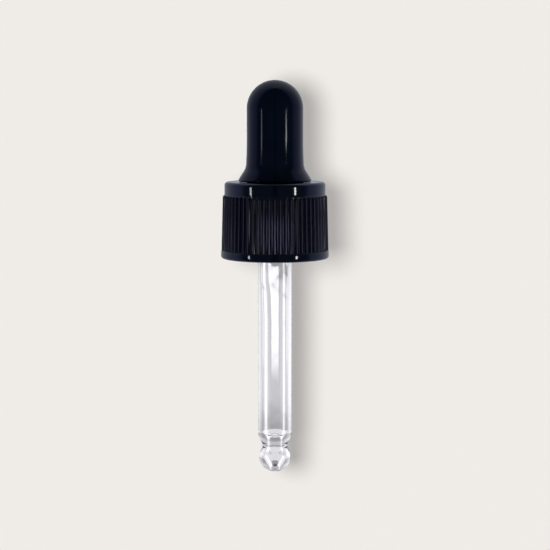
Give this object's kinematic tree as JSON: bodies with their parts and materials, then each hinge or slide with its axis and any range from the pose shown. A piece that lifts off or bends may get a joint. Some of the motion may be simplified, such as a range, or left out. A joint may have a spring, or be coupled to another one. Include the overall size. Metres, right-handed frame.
{
  "type": "medicine dropper",
  "caption": "Screw-on dropper closure: a black rubber bulb through a ribbed black cap, holding a clear glass pipette with a ball tip.",
  "frame": {"origin": "on the dropper's axis, in the sealing plane where the bottle's rim meets the underside of the bulb's gasket inside the cap", "axes": "+Z along the axis from the tip to the bulb, so the tip points down; +X towards the bulb's right wall, which is pinched; +Y away from the viewer of the front"},
  "size_m": [0.0226, 0.0224, 0.082],
  "materials": {
    "cap_plastic": "moulded black polypropylene, satin gloss",
    "bulb_rubber": "smooth black rubber with a soft gloss",
    "pipette_glass": "clear drawn glass, fire-polished ends"
  },
  "bodies": {
    "closure": {"cap": "cap_plastic"},
    "dropper": {"bulb": "bulb_rubber", "pipette": "pipette_glass"},
    "left_pinch": {"bulb_left_wall": "bulb_rubber"},
    "right_pinch": {"bulb_right_wall": "bulb_rubber"}
  },
  "joints": [
    {"name": "bulb_turn", "type": "hinge", "parent": "closure", "child": "dropper", "pos_m": [0, 0, 0.00225], "axis": [0, 0, 1], "continuous": true},
    {"name": "bulb_squeeze", "type": "slide", "parent": "dropper", "child": "left_pinch", "axis": [1, 0, 0], "range_m": [0, 0.0024], "stiffness_N_per_m": 1500},
    {"name": "bulb_squeeze_right", "type": "slide", "parent": "dropper", "child": "right_pinch", "axis": [-1, 0, 0], "range_m": [0, 0.0024], "stiffness_N_per_m": 1500}
  ],
  "couplings": [
    {"joint": "bulb_squeeze_right", "follows": "bulb_squeeze", "ratio": 1}
  ]
}
